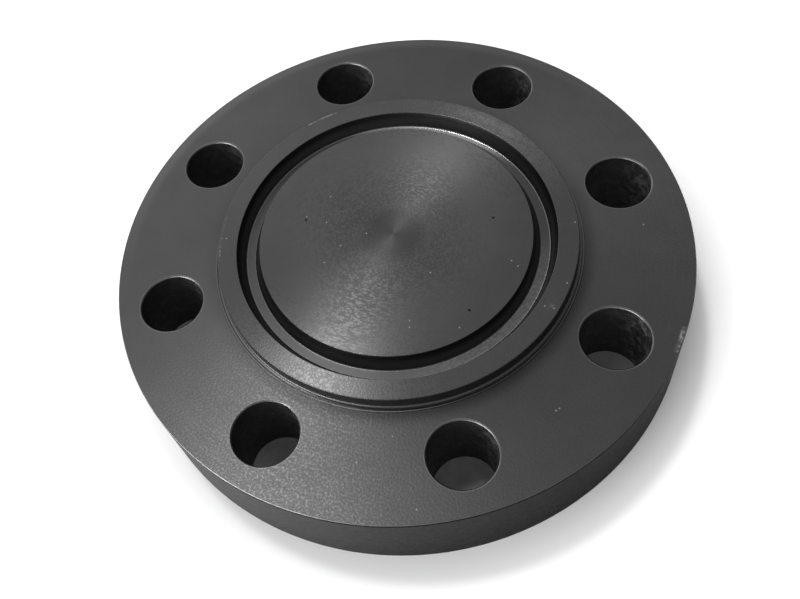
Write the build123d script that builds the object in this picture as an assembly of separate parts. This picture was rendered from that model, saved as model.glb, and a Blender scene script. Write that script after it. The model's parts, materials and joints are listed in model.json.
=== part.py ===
from build123d import *
import math
import os

os.makedirs("parts", exist_ok=True)

# Blind flange with a ring-joint face, turned from one steel forging.
# Lengths are in millimetres and angles in degrees.
# The origin is the centre of the back face, and +Z points out of the ring-joint face.

# Ring groove, which holds the gasket ring
GROOVE_PITCH_DIAMETER = 149.23
GROOVE_WIDTH = 11.91
GROOVE_DEPTH = 7.92
GROOVE_WALL_ANGLE = 23.0
GROOVE_FLOOR_RADIUS = 0.8
GROOVE_LIP_CHAMFER = 0.3

# Raised face: the land outside the groove, and a small ledge round the foot of the face
FACE_LAND_WIDTH = 9.93
FACE_EDGE_CHAMFER = 0.4
FACE_FOOT_RADIUS = 1.0
LEDGE_WIDTH = 2.8
LEDGE_HEIGHT = 0.6
LEDGE_FOOT_RADIUS = 0.3

# Bolt holes, evenly spaced and astride the X and Y axes
BOLT_COUNT = 8
BOLT_HOLE_DIAMETER = 31.75
BOLT_HOLE_CHAMFER = 0.7
FACE_EDGE_TO_BOLT_CENTRE = 27.0
BOLT_CENTRE_TO_PLATE_EDGE = 27.5

# Plate
PLATE_THICKNESS = 44.5
PLATE_EDGE_CHAMFER = 1.0

# How far the hole cutters run past the plate's two faces
CUT_OVERRUN = 1.0

# Sizes that follow from those above: the face is 181, the bolt circle 235 and the plate 290 across
groove_inner_radius = (GROOVE_PITCH_DIAMETER - GROOVE_WIDTH) / 2
groove_outer_radius = (GROOVE_PITCH_DIAMETER + GROOVE_WIDTH) / 2
groove_wall_run = GROOVE_DEPTH * math.tan(math.radians(GROOVE_WALL_ANGLE))
face_radius = groove_outer_radius + FACE_LAND_WIDTH
ledge_radius = face_radius + LEDGE_WIDTH
bolt_circle_radius = face_radius + FACE_EDGE_TO_BOLT_CENTRE
plate_radius = bolt_circle_radius + BOLT_CENTRE_TO_PLATE_EDGE
ledge_level = PLATE_THICKNESS + LEDGE_HEIGHT
# The face stands as high as the groove is deep, so the groove's floor is level with the plate
groove_floor_level = PLATE_THICKNESS
face_level = groove_floor_level + GROOVE_DEPTH
bolt_hole_radius = BOLT_HOLE_DIAMETER / 2
bolt_start_angle = 180 / BOLT_COUNT


def corner(outline, point):
    """The corner of a flat outline that lies at a point given as (radius, height)."""
    return outline.vertices().sort_by_distance(Vector(*point))[0]


def turned(outline):
    """The solid that an outline of (radius, height) sweeps round the Z axis."""
    return revolve(Plane.XZ * outline, axis=Axis.Z)


def flange_blank():
    """The turned blank: plate, ledge, raised face and ring groove, with no bolt holes."""
    plate_back = (plate_radius, 0)
    plate_front = (plate_radius, PLATE_THICKNESS)
    ledge_foot = (ledge_radius, PLATE_THICKNESS)
    ledge_edge = (ledge_radius, ledge_level)
    face_foot = (face_radius, ledge_level)
    face_edge = (face_radius, face_level)
    outer_lip = (groove_outer_radius, face_level)
    outer_floor = (groove_outer_radius - groove_wall_run, groove_floor_level)
    inner_floor = (groove_inner_radius + groove_wall_run, groove_floor_level)
    inner_lip = (groove_inner_radius, face_level)
    outline = make_face(
        Polyline(
            (0, 0),
            plate_back,
            plate_front,
            ledge_foot,
            ledge_edge,
            face_foot,
            face_edge,
            outer_lip,
            outer_floor,
            inner_floor,
            inner_lip,
            (0, face_level),
            close=True,
        )
    )
    chamfers = {
        plate_back: PLATE_EDGE_CHAMFER,
        plate_front: PLATE_EDGE_CHAMFER,
        face_edge: FACE_EDGE_CHAMFER,
        outer_lip: GROOVE_LIP_CHAMFER,
        inner_lip: GROOVE_LIP_CHAMFER,
    }
    fillets = {
        ledge_foot: LEDGE_FOOT_RADIUS,
        face_foot: FACE_FOOT_RADIUS,
        outer_floor: GROOVE_FLOOR_RADIUS,
        inner_floor: GROOVE_FLOOR_RADIUS,
    }
    for point, size in chamfers.items():
        outline = chamfer(corner(outline, point), size)
    for point, size in fillets.items():
        outline = fillet(corner(outline, point), size)
    return turned(outline)


def bolt_hole_cutter():
    """A bolt hole as a solid to take away, with the chamfer at each end run on past the plate."""
    mouth_radius = bolt_hole_radius + BOLT_HOLE_CHAMFER + CUT_OVERRUN
    outline = make_face(
        Polyline(
            (0, -CUT_OVERRUN),
            (mouth_radius, -CUT_OVERRUN),
            (bolt_hole_radius, BOLT_HOLE_CHAMFER),
            (bolt_hole_radius, PLATE_THICKNESS - BOLT_HOLE_CHAMFER),
            (mouth_radius, PLATE_THICKNESS + CUT_OVERRUN),
            (0, PLATE_THICKNESS + CUT_OVERRUN),
            close=True,
        )
    )
    return turned(outline)


cutter = bolt_hole_cutter()
bolt_places = PolarLocations(bolt_circle_radius, BOLT_COUNT, start_angle=bolt_start_angle)
flange = flange_blank() - [place * cutter for place in bolt_places]

export_step(flange, "parts/blind_flange.step")
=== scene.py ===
import json
import math
import bmesh
import bpy
import numpy as np
from mathutils import Matrix, Vector


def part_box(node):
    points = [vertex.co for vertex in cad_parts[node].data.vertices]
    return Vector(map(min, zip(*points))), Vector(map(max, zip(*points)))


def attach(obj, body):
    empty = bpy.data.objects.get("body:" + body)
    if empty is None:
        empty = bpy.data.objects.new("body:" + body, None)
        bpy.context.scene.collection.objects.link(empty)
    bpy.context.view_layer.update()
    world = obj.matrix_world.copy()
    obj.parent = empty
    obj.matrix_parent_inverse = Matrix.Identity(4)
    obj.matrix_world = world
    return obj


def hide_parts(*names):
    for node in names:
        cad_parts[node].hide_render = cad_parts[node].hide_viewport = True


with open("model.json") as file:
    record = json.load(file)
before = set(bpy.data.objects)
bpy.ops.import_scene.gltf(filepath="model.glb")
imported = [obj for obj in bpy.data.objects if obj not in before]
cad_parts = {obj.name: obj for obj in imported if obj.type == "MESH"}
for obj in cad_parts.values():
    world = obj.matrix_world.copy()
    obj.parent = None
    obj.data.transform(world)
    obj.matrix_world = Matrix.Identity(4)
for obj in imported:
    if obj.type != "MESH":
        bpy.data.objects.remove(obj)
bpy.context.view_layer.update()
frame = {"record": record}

# Sizes in metres, in the frame of the CAD part: +Z out of the face, origin at the back face's centre
MM = 0.001

# The flange's outline comes from the frame, and its holes from the record's bolt circle
node_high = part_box("blind_flange")[1]
bolt_circle = next(m for m in frame["record"]["mounts"] if m["name"] == "bolt_circle")
PLATE_RADIUS = node_high[0]
FACE_LEVEL = node_high[2]
BOLT_COUNT = bolt_circle["dims"]["count"]
BOLT_CIRCLE_RADIUS = bolt_circle["dims"]["pcd_mm"] / 2 * MM
BOLT_HOLE_RADIUS = bolt_circle["dims"]["hole_r_mm"] * MM

# Turned face, with the part's sizes but for edges that are a little crisper
GROOVE_PITCH_RADIUS = 149.23 / 2 * MM
GROOVE_WIDTH = 11.91 * MM
GROOVE_DEPTH = 7.92 * MM
GROOVE_WALL_ANGLE = math.radians(23)
GROOVE_FLOOR_RADIUS = 0.8 * MM
GROOVE_LIP_CHAMFER = 0.1 * MM
FACE_LAND_WIDTH = 9.93 * MM
FACE_EDGE_CHAMFER = 0.25 * MM
FACE_FOOT_RADIUS = 1.0 * MM
LEDGE_WIDTH = 2.8 * MM
LEDGE_HEIGHT = 0.6 * MM
LEDGE_FOOT_RADIUS = 0.3 * MM
PLATE_EDGE_CHAMFER = 0.4 * MM
# The dark line of painted shadow just under the plate's front edge, which is a finish and not a step
SEAM_HEIGHT = 1.5 * MM
BOLT_HOLE_CHAMFER = 0.7 * MM

PLATE_LEVEL = FACE_LEVEL - GROOVE_DEPTH
GROOVE_INNER_RADIUS = GROOVE_PITCH_RADIUS - GROOVE_WIDTH / 2
GROOVE_OUTER_RADIUS = GROOVE_PITCH_RADIUS + GROOVE_WIDTH / 2
GROOVE_WALL_RUN = GROOVE_DEPTH * math.tan(GROOVE_WALL_ANGLE)
FACE_RADIUS = GROOVE_OUTER_RADIUS + FACE_LAND_WIDTH
LEDGE_RADIUS = FACE_RADIUS + LEDGE_WIDTH
LEDGE_LEVEL = PLATE_LEVEL + LEDGE_HEIGHT

# Mesh divisions
ARC_STEPS = 64
SIDE_STEPS = 18
FILLET_STEPS = 5
HOLE_WALL_STEPS = 12
SUPPORT_GAP = 0.12 * MM
FLAT_RING_STEP = 9 * MM
# The web, which is the flat ring that holds the bolt holes: how far it reaches to each side of the bolt
# circle, and where its rows of faces lie between a hole's mouth and the edge of its share of the web
WEB_REACH_IN = 19.5 * MM
WEB_REACH_OUT = 20.5 * MM
WEB_ROWS = (0.03, 0.1, 0.25, 0.45, 0.7)
WEB_INNER_RADIUS = BOLT_CIRCLE_RADIUS - WEB_REACH_IN
WEB_OUTER_RADIUS = BOLT_CIRCLE_RADIUS + WEB_REACH_OUT

# Finishes, in the order of the mesh's materials
FINISHES = ("face", "groove", "shoulder", "plate", "edge", "seam", "rim", "back", "drilled")

# Small marks on the faces, as places in millimetres from the axis
DUST = (
    (-35.5, 4.5),
    (-32.1, -19.7),
    (-36.4, 21.0),
    (-25.8, -9.1),
    (-13.8, -0.9),
    (21.1, -21.5),
    (59.1, -11.7),
    (62.3, -14.6),
    (38.1, -50.4),
    (14.5, -48.7),
    (14.9, -52.4),
    (-46.6, 7.3),
    (-86.1, -9.0),
    (85.2, -82.6),
    (13.4, -103.8),
    (28.3, -135.3),
    (120.8, 19.3),
    (-0.7, -117.6),
    (83.8, -83.8),
    (80.3, -36.4),
    (76.1, -35.6),
    (87.8, 12.9),
    (85.5, -22.3),
)
DUST_SIZE = 0.5
PITS = ((48.4, 13.1), (-46.3, 5.4), (42.0, -40.7))
PIT_SIZE = 0.9
# Paler streaks that run round the axis: radius and half width in millimetres, azimuth and half span in
# degrees, and strength. The broad faint one on the land, at 62 degrees, is a painted highlight
STREAKS = (
    (90.3, 1.1, 124.4, 6.0, 0.7),
    (93.8, 0.9, 161.6, 4.1, 0.5),
    (89.3, 0.5, -174.6, 10.0, 0.4),
    (22.8, 0.35, 48.0, 26.0, 0.25),
    (143.8, 1.7, -17.6, 3.0, 0.9),
    (86.0, 3.2, 62.0, 14.0, 0.12),
    (86.6, 1.4, -24.6, 1.6, 0.2),
)
# Where round the axis a mark, or a painted light or shade, is: its middle, and how far to each side it ends
# and is full, in degrees
GROOVE_HIGHLIGHT_SIDE = (83, 40, 10)
LIT_FRONT_OF_GROOVE = (323, 48, 8)
SHADED_RIM_SIDE = (340, 75, 10)
PALE_EDGE = (118, 85, 35)
LIT_SIDE_OF_PLATE = (182, 127, 26)
SHADED_FOOT = (312, 90, 37)
SHADED_LEDGE_SIDE = (262, 154, 72.5)
# The azimuth that the bolt holes' walls face where they get patches of painted light
LIT_WALL_WAY = math.radians(187)

# Tones of the finishes and of what lies on them
FACE_TONE = 0.074
PLATE_TONE = 0.064
GROOVE_TONE = 0.076
SHOULDER_TONE = 0.085
BACK_TONE = 0.076
EDGE_TONES = (0.1, 0.15)
RIM_TONES = (0.066, 0.094)
SEAM_TONES = (0.002, 0.006)
DRILLED_TONE = 0.06
# Painted light on the bolt holes' walls
LIT_PATCH_TONE = 0.2
PALE_TONE = 0.15
# Painted highlight on the groove's floor
GROOVE_HIGHLIGHT_TONE = 0.17
CORNER_TONE = 0.06

# Roughness of the finishes
CENTRE_ROUGHNESS = 0.66
FACE_ROUGHNESS = 0.32
PLATE_ROUGHNESS = 0.4
BACK_ROUGHNESS = 0.45
DRILLED_ROUGHNESS = 0.5
SEAM_ROUGHNESS = 0.8

# The photo's viewpoint, found from the circles of the flange
VIEW_AZIMUTH = math.radians(22.0)
VIEW_ELEVATION = math.radians(55.795)
VIEW_ROLL = math.radians(-14.779)
VIEW_DISTANCE = 465.8 * MM
VIEW_TARGET = Vector((-25.71, -3.91, 0)) * MM
FOCAL_LENGTH = 41.474
SENSOR_WIDTH = 36.0
SHIFT_X = 0.06496
SHIFT_Y = -0.04747
CLIP_NEAR = 10 * MM
CLIP_FAR = 20.0

# Light: headings are (azimuth from the viewer's right hand towards the back, elevation) in degrees
LIGHT_SCALE = 1.45
KEY_HEADING = (115, 68.8)
KEY_ANGLE = math.radians(7)
KEY_LEVEL = 0.178 * math.pi * LIGHT_SCALE
ROOM_LEVEL = 0.1 * LIGHT_SCALE
# Each window: azimuth, elevation, brightness and how tightly it falls off
WINDOWS = (
    (109, 23, 1.45 * LIGHT_SCALE, 9),
    (203, -5, 11.1 * LIGHT_SCALE, 9),
    (68, 68, 0.3 * LIGHT_SCALE, 9),
    (262, 32, 0.42 * LIGHT_SCALE, 3),
)
# The floor: its tone in the open, its dark tone under the flange, which is painted shade, the grain of the
# dust there, how much each is lifted where it is seen, how far round the rim the change runs, and how far the
# floor reaches
FLOOR_TONE = 0.9
UNDER_TONES = (0.096, 0.192)
UNDER_GRAIN = 140.0
FLOOR_LIFT = 0.33
UNDER_LIFT = 0.022
FLOOR_FADE = 30 * MM
FLOOR_REACH = 12.0


def corner_points(before, corner, after, kind, size):
    """The points that a chamfered or filleted corner of an outline has in place of its corner."""
    if kind == "sharp":
        return [corner]
    back = (before - corner).normalized()
    ahead = (after - corner).normalized()
    if kind == "chamfer":
        return [corner + back * size, corner + ahead * size]
    half = back.angle(ahead) / 2
    reach = size / math.tan(half)
    centre = corner + (back + ahead).normalized() * (size / math.sin(half))
    start = corner + back * reach - centre
    end = corner + ahead * reach - centre
    sweep = start.angle(end)
    points = []
    for step in range(FILLET_STEPS + 1):
        share = step / FILLET_STEPS
        blend = start * math.sin((1 - share) * sweep) + end * math.sin(share * sweep)
        points.append(centre + blend / math.sin(sweep))
    return points


def outline(corners):
    """A list of (radius, height) points from corners given as (radius, height, kind, size)."""
    places = [Vector(c[:2]) for c in corners]
    points = [places[0]]
    for i in range(1, len(corners) - 1):
        points += corner_points(places[i - 1], places[i], places[i + 1], *corners[i][2:])
    return points + [places[-1]]


def supported(points):
    """The same outline with a point close to each end of its long stretches, so that edges shade crisply."""
    out = [points[0]]
    for a, b in zip(points, points[1:]):
        length = (b - a).length
        if length > 3 * SUPPORT_GAP:
            out += [a.lerp(b, SUPPORT_GAP / length), a.lerp(b, 1 - SUPPORT_GAP / length)]
        out.append(b)
    return out


class Turning:
    """Collects the vertices and faces of the flange, ring by ring."""

    def __init__(self):
        self.vertices = []
        self.faces = []
        self.drilled = []
        self.around = BOLT_COUNT * ARC_STEPS

    def add(self, places):
        start = len(self.vertices)
        self.vertices += [tuple(p) for p in places]
        return list(range(start, len(self.vertices)))

    def ring(self, radius, height):
        turn = 2 * math.pi / self.around
        return self.add(
            (radius * math.cos(n * turn), radius * math.sin(n * turn), height) for n in range(self.around)
        )

    def bridge(self, ring_a, ring_b, drilled=False):
        count = len(ring_a)
        for n in range(count):
            m = (n + 1) % count
            self.faces.append((ring_a[n], ring_a[m], ring_b[m], ring_b[n]))
            self.drilled.append(drilled)

    def strip(self, first, points, last=None):
        """Rings through the outline's points, from a ring that exists to another, or to a new last one."""
        ring = first
        stop = len(points) - 1 if last else len(points)
        for point in points[1:stop]:
            following = self.ring(point[0], point[1])
            self.bridge(ring, following)
            ring = following
        if last:
            self.bridge(ring, last)
        return ring

    def cap(self, ring, height):
        centre = self.add([(0, 0, height)])[0]
        for n in range(self.around):
            self.faces.append((ring[n], ring[(n + 1) % self.around], centre))
            self.drilled.append(False)

    def web(self, inner, outer, height):
        """The flat ring that holds the bolt holes, and the loops of vertices at the holes' mouths."""
        sides = []
        for k in range(BOLT_COUNT):
            angle = 2 * math.pi * k / BOLT_COUNT
            reach = [
                WEB_OUTER_RADIUS + (WEB_INNER_RADIUS - WEB_OUTER_RADIUS) * s / SIDE_STEPS
                for s in range(1, SIDE_STEPS)
            ]
            sides.append(self.add((r * math.cos(angle), r * math.sin(angle), height) for r in reach))
        mouths = []
        for k in range(BOLT_COUNT):
            arc = [(k * ARC_STEPS + n) % self.around for n in range(ARC_STEPS + 1)]
            edge = [outer[n] for n in arc] + sides[(k + 1) % BOLT_COUNT]
            edge += [inner[n] for n in reversed(arc)] + list(reversed(sides[k]))
            mouth = hole_loop(k, BOLT_HOLE_RADIUS + BOLT_HOLE_CHAMFER, height, len(edge))
            hem = hole_loop(k, BOLT_HOLE_RADIUS + BOLT_HOLE_CHAMFER + SUPPORT_GAP, height, len(edge))
            loop = self.add(mouth)
            mouths.append(loop)
            following = self.add(hem)
            self.bridge(loop, following)
            loop = following
            for share in WEB_ROWS:
                places = [Vector(h).lerp(Vector(self.vertices[e]), share) for h, e in zip(hem, edge)]
                following = self.add(places)
                self.bridge(loop, following)
                loop = following
            self.bridge(loop, edge)
        return mouths

    def hole(self, k, front, back):
        """A bolt hole's chamfers and wall, between its two mouths."""
        radius = BOLT_HOLE_RADIUS
        cut = BOLT_HOLE_CHAMFER
        top = PLATE_LEVEL - cut
        levels = [top - (top - cut) * n / HOLE_WALL_STEPS for n in range(HOLE_WALL_STEPS + 1)]
        levels.insert(1, top - SUPPORT_GAP)
        levels.insert(-1, cut + SUPPORT_GAP)
        loop = front
        for level in levels:
            following = self.add(hole_loop(k, radius, level, len(front)))
            self.bridge(loop, following, drilled=loop is not front)
            loop = following
        self.bridge(loop, back)


def hole_loop(k, radius, height, count):
    """Points round bolt hole k, in step with the edge of its share of the plate."""
    middle = 2 * math.pi * (k + 0.5) / BOLT_COUNT
    start = middle - math.pi * ARC_STEPS / count
    x = BOLT_CIRCLE_RADIUS * math.cos(middle)
    y = BOLT_CIRCLE_RADIUS * math.sin(middle)
    angles = [start + 2 * math.pi * n / count for n in range(count)]
    return [(x + radius * math.cos(a), y + radius * math.sin(a), height) for a in angles]


def bolt_places():
    """The bolt holes' axes, as places in millimetres."""
    reach = BOLT_CIRCLE_RADIUS / MM
    angles = [2 * math.pi * (k + 0.5) / BOLT_COUNT for k in range(BOLT_COUNT)]
    return [(reach * math.cos(a), reach * math.sin(a)) for a in angles]


def flat_rings(outer, inner, height):
    """Outline points along a flat face, from its outer to its inner radius."""
    steps = max(1, round((outer - inner) / FLAT_RING_STEP))
    return [Vector((outer + (inner - outer) * s / steps, height)) for s in range(steps + 1)]


def flange_mesh():
    """The flange as one closed mesh, with its bolt holes, chamfers, fillets and ring groove."""
    shape = Turning()
    front_outer = shape.ring(WEB_OUTER_RADIUS, PLATE_LEVEL)
    front_inner = shape.ring(WEB_INNER_RADIUS, PLATE_LEVEL)
    back_outer = shape.ring(WEB_OUTER_RADIUS, 0)
    back_inner = shape.ring(WEB_INNER_RADIUS, 0)
    front_mouths = shape.web(front_inner, front_outer, PLATE_LEVEL)
    back_mouths = shape.web(back_inner, back_outer, 0)
    for k in range(BOLT_COUNT):
        shape.hole(k, front_mouths[k], back_mouths[k])
    seam_foot = PLATE_LEVEL - PLATE_EDGE_CHAMFER - SEAM_HEIGHT
    rim = outline(
        [
            (WEB_OUTER_RADIUS, PLATE_LEVEL),
            (PLATE_RADIUS, PLATE_LEVEL, "chamfer", PLATE_EDGE_CHAMFER),
            (PLATE_RADIUS, seam_foot, "sharp", 0),
            (PLATE_RADIUS, 0, "chamfer", PLATE_EDGE_CHAMFER),
            (WEB_OUTER_RADIUS, 0),
        ]
    )
    shape.strip(front_outer, supported(rim), back_outer)
    face = outline(
        [
            (WEB_INNER_RADIUS, PLATE_LEVEL),
            (LEDGE_RADIUS, PLATE_LEVEL, "fillet", LEDGE_FOOT_RADIUS),
            (LEDGE_RADIUS, LEDGE_LEVEL, "sharp", 0),
            (FACE_RADIUS, LEDGE_LEVEL, "fillet", FACE_FOOT_RADIUS),
            (FACE_RADIUS, FACE_LEVEL, "chamfer", FACE_EDGE_CHAMFER),
            (GROOVE_OUTER_RADIUS, FACE_LEVEL, "chamfer", GROOVE_LIP_CHAMFER),
            (GROOVE_OUTER_RADIUS - GROOVE_WALL_RUN, PLATE_LEVEL, "fillet", GROOVE_FLOOR_RADIUS),
            (GROOVE_INNER_RADIUS + GROOVE_WALL_RUN, PLATE_LEVEL, "fillet", GROOVE_FLOOR_RADIUS),
            (GROOVE_INNER_RADIUS, FACE_LEVEL, "chamfer", GROOVE_LIP_CHAMFER),
            (GROOVE_INNER_RADIUS - FLAT_RING_STEP, FACE_LEVEL),
        ]
    )
    disc_edge = shape.strip(front_inner, supported(face))
    disc = flat_rings(GROOVE_INNER_RADIUS - FLAT_RING_STEP, FLAT_RING_STEP, FACE_LEVEL)
    shape.cap(shape.strip(disc_edge, disc), FACE_LEVEL)
    back = flat_rings(WEB_INNER_RADIUS, FLAT_RING_STEP, 0)
    shape.cap(shape.strip(back_inner, back), 0)
    return shape


def finish_of_faces(mesh, drilled):
    """Which finish each face has, from its place on the turned outline."""
    places = np.empty(len(mesh.polygons) * 3)
    mesh.polygons.foreach_get("center", places)
    places = places.reshape(-1, 3)
    radius = np.hypot(places[:, 0], places[:, 1])
    height = places[:, 2]
    finish = np.full(len(radius), FINISHES.index("plate"))
    finish[(radius < LEDGE_RADIUS) & (height > PLATE_LEVEL)] = FINISHES.index("shoulder")
    finish[(radius < FACE_RADIUS) & (height > FACE_LEVEL - FACE_EDGE_CHAMFER)] = FINISHES.index("face")
    in_groove = np.abs(radius - GROOVE_PITCH_RADIUS) < GROOVE_WIDTH / 2
    finish[in_groove & (height < FACE_LEVEL - GROOVE_LIP_CHAMFER / 2)] = FINISHES.index("groove")
    edge_depth = max(PLATE_EDGE_CHAMFER, BOLT_HOLE_CHAMFER)
    chamfered = (height < PLATE_LEVEL - SUPPORT_GAP / 4) & (height > PLATE_LEVEL - edge_depth)
    finish[chamfered & (radius > LEDGE_RADIUS + SUPPORT_GAP)] = FINISHES.index("edge")
    on_rim = (radius > PLATE_RADIUS - SUPPORT_GAP) & (height < PLATE_LEVEL)
    finish[on_rim] = FINISHES.index("rim")
    seam_middle = PLATE_LEVEL - PLATE_EDGE_CHAMFER - SEAM_HEIGHT / 2
    finish[on_rim & (np.abs(height - seam_middle) < SEAM_HEIGHT / 2)] = FINISHES.index("seam")
    finish[height < PLATE_EDGE_CHAMFER / 2] = FINISHES.index("back")
    finish[np.array(drilled)] = FINISHES.index("drilled")
    return finish


def flange_object(materials):
    """The flange with its finishes, in place of the CAD solid."""
    shape = flange_mesh()
    mesh = bpy.data.meshes.new("flange_finish")
    mesh.from_pydata(shape.vertices, [], shape.faces)
    for material in materials:
        mesh.materials.append(material)
    mesh.polygons.foreach_set("use_smooth", [True] * len(shape.faces))
    mesh.polygons.foreach_set("material_index", finish_of_faces(mesh, shape.drilled))
    body = bmesh.new()
    body.from_mesh(mesh)
    bmesh.ops.recalc_face_normals(body, faces=body.faces)
    body.to_mesh(mesh)
    body.free()
    mesh.update()
    piece = bpy.data.objects.new("flange_finish", mesh)
    bpy.context.scene.collection.objects.link(piece)
    return piece


class Graph:
    """Short calls for building a material's or the world's nodes."""

    def __init__(self, tree):
        self.tree = tree
        tree.nodes.clear()

    def node(self, kind, inputs=None, **settings):
        made = self.tree.nodes.new(kind)
        for name, value in settings.items():
            setattr(made, name, value)
        for name, value in (inputs or {}).items():
            self.feed(made.inputs[name], value)
        return made

    def feed(self, socket, value):
        if isinstance(value, bpy.types.NodeSocket):
            self.tree.links.new(value, socket)
        else:
            socket.default_value = value

    def math(self, operation, *values):
        made = self.node("ShaderNodeMath", operation=operation)
        for socket, value in zip(made.inputs, values):
            self.feed(socket, value)
        return made.outputs[0]

    def product(self, first, *factors):
        for factor in factors:
            first = self.math("MULTIPLY", first, factor)
        return first

    def vector(self, operation, *values):
        made = self.node("ShaderNodeVectorMath", operation=operation)
        for socket, value in zip(made.inputs, values):
            self.feed(socket, value)
        return made.outputs["Value" if operation in ("LENGTH", "DOT_PRODUCT", "DISTANCE") else "Vector"]

    def scaled(self, vector, factor):
        made = self.node("ShaderNodeVectorMath", operation="SCALE")
        self.feed(made.inputs[0], vector)
        self.feed(made.inputs["Scale"], factor)
        return made.outputs[0]

    def combine(self, x, y, z):
        return self.node("ShaderNodeCombineXYZ", {"X": x, "Y": y, "Z": z}).outputs[0]

    def noise(self, vector, scale, detail=2.0, roughness=0.5, distortion=0.0):
        made = self.node(
            "ShaderNodeTexNoise",
            {
                "Vector": vector,
                "Scale": scale,
                "Detail": detail,
                "Roughness": roughness,
                "Distortion": distortion,
            },
        )
        return made.outputs["Fac"]

    def span(self, value, low, high, to_low=0.0, to_high=1.0, smooth=False):
        made = self.node("ShaderNodeMapRange", interpolation_type="SMOOTHSTEP" if smooth else "LINEAR")
        for name, number in (
            ("Value", value),
            ("From Min", low),
            ("From Max", high),
            ("To Min", to_low),
            ("To Max", to_high),
        ):
            self.feed(made.inputs[name], number)
        return made.outputs[0]

    def grey(self, value):
        return self.node("ShaderNodeCombineColor", {"Red": value, "Green": value, "Blue": value}).outputs[0]

    def bump(self, height, depth, normal=None):
        inputs = {"Height": height, "Distance": depth, "Strength": 1.0}
        if normal:
            inputs["Normal"] = normal
        return self.node("ShaderNodeBump", inputs).outputs[0]


class Steel(Graph):
    """A node graph with the flange's coordinates in millimetres, and its kinds of mark."""

    def __init__(self, name):
        self.material = bpy.data.materials.new(name)
        self.material.use_nodes = True
        super().__init__(self.material.node_tree)
        self.place = self.scaled(self.node("ShaderNodeTexCoord").outputs["Object"], 1 / MM)
        self.x, self.y, self.z = self.node("ShaderNodeSeparateXYZ", {"Vector": self.place}).outputs
        flat = self.combine(self.x, self.y, 0.0)
        self.radius = self.vector("LENGTH", flat)
        turn = self.node("ShaderNodeSeparateXYZ", {"Vector": self.vector("NORMALIZE", flat)}).outputs
        self.cosine, self.sine = turn[0], turn[1]
        self.tangent = self.node("ShaderNodeTangent", direction_type="RADIAL", axis="Z").outputs[0]
        # Distance along the turned outline
        self.along = self.math("SUBTRACT", self.radius, self.z)

    def rings(self, per_mm, turns, detail=1.0):
        """Marks that run round the axis: per_mm sets how fine, and turns how often one breaks up."""
        vector = self.combine(
            self.math("MULTIPLY", self.along, per_mm),
            self.math("MULTIPLY", self.cosine, turns),
            self.math("MULTIPLY", self.sine, turns),
        )
        return self.noise(vector, 1.0, detail=detail)

    def nearest(self, centres):
        """Distance from the nearest of some upright lines, given as places in millimetres."""
        flat = self.combine(self.x, self.y, 0.0)
        nearest = None
        for x, y in centres:
            reach = self.vector("DISTANCE", flat, (x, y, 0))
            nearest = self.math("MINIMUM", nearest, reach) if nearest else reach
        return nearest

    def spots(self, centres, size):
        """A mask of round spots at places on the faces."""
        return self.span(self.nearest(centres), size, size * 0.4, smooth=True)

    def lean(self, azimuth):
        """The cosine of how far round the axis a place is from an azimuth."""
        way = (math.cos(azimuth), math.sin(azimuth), 0)
        return self.vector("DOT_PRODUCT", self.combine(self.cosine, self.sine, 0.0), way)

    def sided(self, side, to_low=0.0, to_high=1.0, smooth=True):
        """A value that is to_high at the middle of a side of the flange, and to_low away from it."""
        middle, end, full = (math.radians(angle) for angle in side)
        return self.span(self.lean(middle), math.cos(end), math.cos(full), to_low, to_high, smooth)

    def streaks(self, marks):
        """A mask of paler streaks along the turning."""
        strongest = 0.0
        for radius, width, azimuth, half_span, strength in marks:
            off = self.math("ABSOLUTE", self.math("SUBTRACT", self.radius, radius))
            near = self.span(off, width, width * 0.3, 0.0, strength, smooth=True)
            end = math.cos(math.radians(half_span))
            lean = self.lean(math.radians(azimuth))
            near = self.product(near, self.span(lean, end, (1 + end) / 2, smooth=True))
            strongest = self.math("MAXIMUM", strongest, near)
        return strongest

    def band(self, value, middle, half_width, strength=1.0):
        """A soft band where a value is near a middle."""
        off = self.math("ABSOLUTE", self.math("SUBTRACT", value, middle))
        return self.span(off, half_width, half_width * 0.5, 0.0, strength, smooth=True)

    def finish(self, tone, roughness, anisotropy, normal, metal=1.0, turn=0.25, specular=0.5, grazing=1.0):
        """The material: turn is the way its highlights are drawn, and grazing its shine seen edge on."""
        inputs = {"Base Color": self.grey(tone), "Metallic": metal, "Roughness": roughness, "Normal": normal}
        inputs["Specular IOR Level"] = specular
        inputs["Specular Tint"] = (grazing, grazing, grazing, 1.0)
        if anisotropy:
            inputs["Tangent"] = self.tangent
            inputs["Anisotropic"] = anisotropy
            inputs["Anisotropic Rotation"] = turn
        surface = self.node("ShaderNodeBsdfPrincipled", inputs)
        self.node("ShaderNodeOutputMaterial", {"Surface": surface.outputs[0]})
        return self.material


def shades(g, tone, grain):
    """Faint blotches and grain in a steel's tone."""
    blotch = g.noise(g.place, 0.045, detail=4.0, roughness=0.55)
    patchy = g.span(blotch, 0.3, 0.7, tone * 0.95, tone * 1.05)
    return g.product(patchy, g.span(grain, 0.3, 0.7, 0.97, 1.03))


def glinting(g, base, grain, fine, swing):
    """Roughness with scattered smoother grains, so that only a highlight glitters."""
    swings = g.math("ADD", g.span(grain, 0.48, 0.64, 0.2, -1.0), g.span(fine, 0.35, 0.65, 0.2, -0.2))
    return g.math("MULTIPLY_ADD", swings, swing, base)


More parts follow.
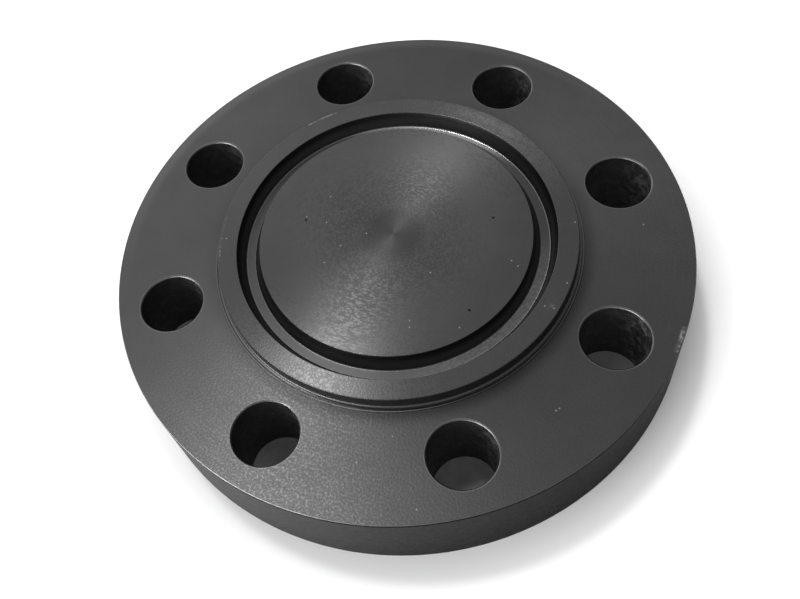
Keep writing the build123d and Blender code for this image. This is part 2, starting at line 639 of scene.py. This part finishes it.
def marked_finish(g, shade, rough, anisotropy, normal, worn=0.0, turn=0.25):
    """The finish with its dust, pits, paler streaks and worn places; one streak is a painted highlight."""
    torn = g.span(g.noise(g.place, 0.5, detail=3.0), 0.45, 0.58, 0.15, 1.0)
    pale = g.math("MAXIMUM", g.spots(DUST, DUST_SIZE), g.product(torn, g.streaks(STREAKS)))
    pale = g.math("MAXIMUM", pale, worn)
    pits = g.spots(PITS, PIT_SIZE)
    normal = g.bump(pits, -0.3 * MM, normal)
    shade = g.product(shade, g.span(pits, 0.0, 1.0, 1.0, 0.25))
    shade = g.math("ADD", shade, g.product(pale, PALE_TONE))
    return g.finish(shade, rough, anisotropy, normal, metal=g.math("SUBTRACT", 1.0, pale), turn=turn)


def face_steel():
    """The raised face: dull at its centre, finer turned and brighter towards its edge."""
    g = Steel("face_steel")
    fine = g.rings(1.0, 16.0)
    rough_grain = g.noise(g.place, 1.0, detail=1.0, roughness=0.6)
    # The disc's grain is drawn out along the turning, and the land's hardly at all
    drawn = g.span(g.radius, 66.0, 78.0, 0.5, 0.1)
    grain = g.math("MULTIPLY_ADD", g.math("SUBTRACT", fine, rough_grain), drawn, rough_grain)
    grain = g.span(grain, 0.38, 0.62, 0.3, 0.7)
    base = g.span(g.radius, 10.0, 70.0, CENTRE_ROUGHNESS, FACE_ROUGHNESS)
    base = g.math("ADD", base, g.span(g.radius, 2.0, 18.0, 0.25, 0.0))
    # The glitter is strongest halfway out on the disc
    rise = g.span(g.radius, 8.0, 28.0, 0.03, 0.11)
    swing = g.math("MINIMUM", rise, g.span(g.radius, 40.0, 66.0, 0.11, 0.07))
    rough = glinting(g, base, grain, fine, swing)
    worn = g.math("ADD", g.span(g.radius, 5.0, 60.0, 1.3, 1.0), g.span(g.radius, 3.0, 22.0, 0.35, 0.0))
    shade = g.product(shades(g, FACE_TONE, grain), worn)
    # The turning on the land runs a little out of round
    skew = g.scaled(g.combine(g.cosine, g.sine, 0.0), g.span(g.radius, 66.0, 80.0, 0.0, -0.095))
    g.tangent = g.vector("ADD", g.tangent, skew)
    return marked_finish(g, shade, rough, anisotropy=0.79, normal=g.bump(grain, 0.018 * MM))


def plate_steel():
    """The plate's front, with a light ring worn round the mouth of each bolt hole."""
    g = Steel("plate_steel")
    fine = g.rings(0.8, 9.0)
    grain = g.noise(g.place, 0.9, detail=1.0, roughness=0.6)
    normal = g.bump(grain, 0.03 * MM)
    normal = g.bump(fine, 0.02 * MM, normal)
    rough = glinting(g, PLATE_ROUGHNESS, grain, fine, swing=0.06)
    mouth = (BOLT_HOLE_RADIUS + BOLT_HOLE_CHAMFER / 2) / MM
    worn = g.band(g.nearest(bolt_places()), mouth, 0.9, 0.25)
    # Painted shade gathers beside the ledge, one side of the plate is painted paler as painted light, and a
    # band at its edge is paler
    ledge = LEDGE_RADIUS / MM
    gathered = g.sided(SHADED_FOOT, 0.88, 0.62, smooth=False)
    shade = g.span(g.radius, ledge, ledge + 8.0, gathered, 1.0, smooth=True)
    shade = g.product(shade, g.sided(LIT_SIDE_OF_PLATE, 0.93, 1.1, smooth=False))
    pale = g.product(g.span(g.radius, 137.0, 142.0, smooth=True), g.sided(PALE_EDGE))
    shade = g.product(shade, g.span(pale, 0.0, 1.0, 1.0, 1.35))
    shade = g.product(shades(g, PLATE_TONE, grain), shade)
    return marked_finish(g, shade, rough, anisotropy=0.65, normal=normal, worn=worn, turn=0.295)


def groove_steel():
    """The ring groove: painted shade under its lips, burnished corners to its floor, a painted highlight
    beside the outer corner and painted light on the front of its floor.
    """
    g = Steel("groove_steel")
    fine = g.rings(1.1, 5.0)
    grain = g.noise(g.place, 0.5, detail=2.0, roughness=0.5)
    level = g.math("SUBTRACT", g.z, PLATE_LEVEL / MM)
    low = g.span(level, 0.9, 0.05)
    # Painted shade: dark under the lips, lighter down the walls, and darker again at the floor
    painted_shade = g.span(level, 2.5, GROOVE_DEPTH / MM - 1.5, 1.4, 0.3, smooth=True)
    painted_shade = g.product(painted_shade, g.span(level, 0.0, 1.2, 0.5, 1.0))
    shade = g.product(shades(g, GROOVE_TONE, grain), painted_shade)
    # Both corners of the floor are burnished, the outer one more
    pitch = GROOVE_PITCH_RADIUS / MM
    off = g.math("ABSOLUTE", g.math("SUBTRACT", g.radius, pitch))
    outer = g.span(g.radius, pitch - 1.0, pitch + 1.0, 0.45, 1.0)
    corner = g.product(low, outer, g.band(off, (GROOVE_WIDTH / 2 - GROOVE_WALL_RUN) / MM, 0.8))
    # Part of the floor beside the outer corner, on one side, is painted bright as a painted highlight
    outer_foot = (GROOVE_OUTER_RADIUS - GROOVE_WALL_RUN) / MM
    groove_highlight = g.product(g.band(g.radius, outer_foot - 1.1, 2.2), g.sided(GROOVE_HIGHLIGHT_SIDE), low)
    painted_highlights = g.math("ADD", g.product(corner, CORNER_TONE), g.product(groove_highlight, GROOVE_HIGHLIGHT_TONE))
    shade = g.math("ADD", shade, painted_highlights)
    # The front of the floor is painted paler in mottled patches, as painted light
    painted_light = g.span(g.noise(g.place, 0.7, detail=2.0), 0.35, 0.65, 0.5, 1.3)
    painted_light = g.product(painted_light, low, g.sided(LIT_FRONT_OF_GROOVE))
    shade = g.product(shade, g.math("ADD", painted_light, 1.0))
    rough = g.math("SUBTRACT", g.span(fine, 0.3, 0.7, 0.36, 0.34), g.product(corner, 0.13))
    return g.finish(shade, rough, anisotropy=0.4, normal=g.bump(fine, 0.01 * MM))


def shoulder_steel():
    """The side of the raised face and the ledge at its foot, with dark lines of painted shade on the ledge.
    """
    g = Steel("shoulder_steel")
    fine = g.rings(1.1, 7.0)
    grain = g.noise(g.place, 0.9, detail=1.0, roughness=0.6)
    ledge = LEDGE_RADIUS / MM
    # Painted shade: a dark line on the ledge, and its side darkened, most on one side
    middle = g.band(g.radius, ledge - 0.9, 0.5, 0.6)
    side = g.product(g.math("GREATER_THAN", g.radius, ledge - 0.05), 0.6)
    ledge_shade = g.product(g.sided(SHADED_LEDGE_SIDE, 0.25, 1.0, smooth=False), g.math("MAXIMUM", middle, side))
    shade = g.product(shades(g, SHOULDER_TONE, grain), g.math("SUBTRACT", 1.0, ledge_shade))
    foot = g.band(g.radius, FACE_RADIUS / MM + 0.8, 0.6, 0.1)
    rough = g.math("SUBTRACT", glinting(g, PLATE_ROUGHNESS, grain, fine, swing=0.05), foot)
    return g.finish(shade, rough, anisotropy=0.5, normal=g.bump(fine, 0.01 * MM), grazing=0.5)


def edge_steel():
    """The chamfers of the plate's front, cut clean."""
    g = Steel("edge_steel")
    worn = g.noise(g.place, 0.3, detail=2.0, roughness=0.6)
    tone = g.span(worn, 0.3, 0.7, *EDGE_TONES)
    rough = g.span(worn, 0.3, 0.7, 0.38, 0.3)
    return g.finish(tone, rough, anisotropy=0.5, normal=g.bump(worn, 0.02 * MM))


def painted_seam_shadow():
    """The thin dark line of painted shadow just under the plate's front edge."""
    g = Steel("painted_seam_shadow")
    painted_shade = g.noise(g.place, 0.4, detail=2.0)
    tone = g.span(painted_shade, 0.3, 0.7, *SEAM_TONES)
    normal = g.bump(painted_shade, 0.05 * MM)
    return g.finish(tone, SEAM_ROUGHNESS, anisotropy=0, normal=normal, metal=0.0, specular=0.05)


def rim_steel():
    """The rim, with fine turned marks, faint blotches and a side darkened with painted shade."""
    g = Steel("rim_steel")
    fine = g.rings(1.1, 30.0)
    grain = g.noise(g.place, 0.5, detail=3.0, roughness=0.6)
    # One side of the rim is darkened with painted shade
    shade = g.product(g.span(grain, 0.3, 0.7, *RIM_TONES), g.sided(SHADED_RIM_SIDE, 0.95, 0.34, smooth=False))
    rough = g.span(grain, 0.3, 0.7, 0.44, 0.34)
    return g.finish(shade, rough, anisotropy=0.7, normal=g.bump(fine, 0.04 * MM), grazing=0.5)


def back_steel():
    """The back, turned like the plate."""
    g = Steel("back_steel")
    fine = g.rings(0.8, 9.0)
    grain = g.noise(g.place, 0.9, detail=1.0, roughness=0.6)
    rough = glinting(g, BACK_ROUGHNESS, grain, fine, swing=0.06)
    return g.finish(shades(g, BACK_TONE, grain), rough, anisotropy=0.65, normal=g.bump(fine, 0.03 * MM))


def drilled_steel():
    """The dark walls of the drilled bolt holes, rough and torn, with paler patches of painted light where
    they face one way.
    """
    g = Steel("drilled_walls")
    torn = g.noise(g.place, 0.22, detail=6.0, roughness=0.65, distortion=0.4)
    way = g.node("ShaderNodeNewGeometry").outputs["Normal"]
    facing = g.vector("DOT_PRODUCT", way, (math.cos(LIT_WALL_WAY), math.sin(LIT_WALL_WAY), 0))
    facing = g.span(facing, 0.2, 0.9, 0.15, 1.0, smooth=True)
    # Paler patches of painted light where the walls face the light
    lit_patch = g.product(g.span(torn, 0.45, 0.62, 0.0, LIT_PATCH_TONE), facing)
    # The walls are darker towards the mouth, as painted shade
    depth = g.span(g.z, 12.0, PLATE_LEVEL / MM, 1.1, 0.2)
    tone = g.product(g.math("ADD", lit_patch, DRILLED_TONE), depth)
    normal = g.bump(torn, 0.6 * MM)
    return g.finish(tone, DRILLED_ROUGHNESS, anisotropy=0, normal=normal, metal=0.2, specular=0.2)


def heading(azimuth, elevation):
    """A direction by its angle from the viewer's right hand, towards the back, and its height."""
    a = math.radians(azimuth) + VIEW_AZIMUTH
    e = math.radians(elevation)
    return Vector((math.cos(e) * math.cos(a), math.cos(e) * math.sin(a), math.sin(e)))


def add_key_lamp():
    """A small far lamp high behind the flange: it draws the wedges of light on the turned face."""
    lamp = bpy.data.lights.new("key", "SUN")
    lamp.angle = KEY_ANGLE
    lamp.energy = KEY_LEVEL
    rig = bpy.data.objects.new("key", lamp)
    rig.rotation_mode = "QUATERNION"
    rig.rotation_quaternion = heading(*KEY_HEADING).to_track_quat("Z", "Y")
    bpy.context.scene.collection.objects.link(rig)


def add_world():
    """Soft light all round, with windows behind the flange, low to its left, high up and faintly in front."""
    world = bpy.data.worlds.new("studio")
    world.use_nodes = True
    bpy.context.scene.world = world
    g = Graph(world.node_tree)
    way = g.node("ShaderNodeTexCoord").outputs["Generated"]
    level = ROOM_LEVEL
    for azimuth, elevation, glow, tightness in WINDOWS:
        lean = g.vector("DOT_PRODUCT", way, tuple(heading(azimuth, elevation)))
        fall = g.math("EXPONENT", g.math("MULTIPLY", g.math("SUBTRACT", lean, 1.0), tightness))
        level = g.math("ADD", g.math("MULTIPLY", fall, glow), level)
    light = g.node("ShaderNodeBackground", {"Color": (1, 1, 1, 1), "Strength": level})
    g.node("ShaderNodeOutputWorld", {"Surface": light.outputs[0]})


def floor_paint():
    """Pale paint that shows as white away from the flange, and keeps the flange's shadow."""
    material = bpy.data.materials.new("floor_paint")
    material.use_nodes = True
    g = Graph(material.node_tree)
    place = g.node("ShaderNodeNewGeometry").outputs["Position"]
    reach = g.vector("LENGTH", place)
    away = g.span(reach, PLATE_RADIUS, PLATE_RADIUS + FLOOR_FADE, UNDER_LIFT, FLOOR_LIFT, smooth=True)
    path = g.node("ShaderNodeLightPath").outputs
    mirrored = g.math("MAXIMUM", path["Is Glossy Ray"], path["Is Transmission Ray"])
    seen = g.math("MAXIMUM", path["Is Camera Ray"], mirrored)
    # Under the flange the floor is painted dark, as painted shade, with a grain
    painted_under_shade = g.span(g.noise(place, UNDER_GRAIN, detail=4.0), 0.35, 0.65, *UNDER_TONES)
    open_floor = g.span(reach, PLATE_RADIUS - FLOOR_FADE, PLATE_RADIUS, painted_under_shade, FLOOR_TONE)
    paint = g.node("ShaderNodeBsdfDiffuse", {"Color": g.grey(open_floor)})
    lift = g.math("MULTIPLY", away, seen)
    glow = g.node("ShaderNodeEmission", {"Color": (1, 1, 1, 1), "Strength": lift})
    both = g.node("ShaderNodeAddShader")
    g.feed(both.inputs[0], paint.outputs[0])
    g.feed(both.inputs[1], glow.outputs[0])
    g.node("ShaderNodeOutputMaterial", {"Surface": both.outputs[0]})
    return material


def add_floor():
    """A plain pale floor for the flange to lie on."""
    mesh = bpy.data.meshes.new("floor")
    corners = [(-1, -1), (1, -1), (1, 1), (-1, 1)]
    mesh.from_pydata([(x * FLOOR_REACH, y * FLOOR_REACH, 0) for x, y in corners], [], [(0, 1, 2, 3)])
    mesh.materials.append(floor_paint())
    floor = bpy.data.objects.new("floor", mesh)
    bpy.context.scene.collection.objects.link(floor)


def add_camera():
    """The photo's camera: its place, tilt, focal length and frame."""
    data = bpy.data.cameras.new("camera")
    data.sensor_width = SENSOR_WIDTH
    data.lens = FOCAL_LENGTH
    data.shift_x = SHIFT_X
    data.shift_y = SHIFT_Y
    data.clip_start = CLIP_NEAR
    data.clip_end = CLIP_FAR
    camera = bpy.data.objects.new("camera", data)
    turn = Matrix.Rotation(VIEW_AZIMUTH, 3, "Z")
    back = turn @ Vector((0, -math.cos(VIEW_ELEVATION), math.sin(VIEW_ELEVATION)))
    right = turn @ Vector((1, 0, 0))
    up = back.cross(right)
    side = right * math.cos(VIEW_ROLL) + up * math.sin(VIEW_ROLL)
    top = up * math.cos(VIEW_ROLL) - right * math.sin(VIEW_ROLL)
    target = turn @ VIEW_TARGET + Vector((0, 0, PLATE_LEVEL))
    pose = Matrix((side, top, back)).transposed().to_4x4()
    camera.matrix_world = Matrix.Translation(target + back * VIEW_DISTANCE) @ pose
    bpy.context.scene.collection.objects.link(camera)
    bpy.context.scene.camera = camera


materials = [
    face_steel(),
    groove_steel(),
    shoulder_steel(),
    plate_steel(),
    edge_steel(),
    painted_seam_shadow(),
    rim_steel(),
    back_steel(),
    drilled_steel(),
]
flange = flange_object(materials)
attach(flange, "root")
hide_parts("blind_flange")

add_floor()
add_world()
add_key_lamp()
add_camera()

bpy.context.scene.view_settings.view_transform = "Standard"
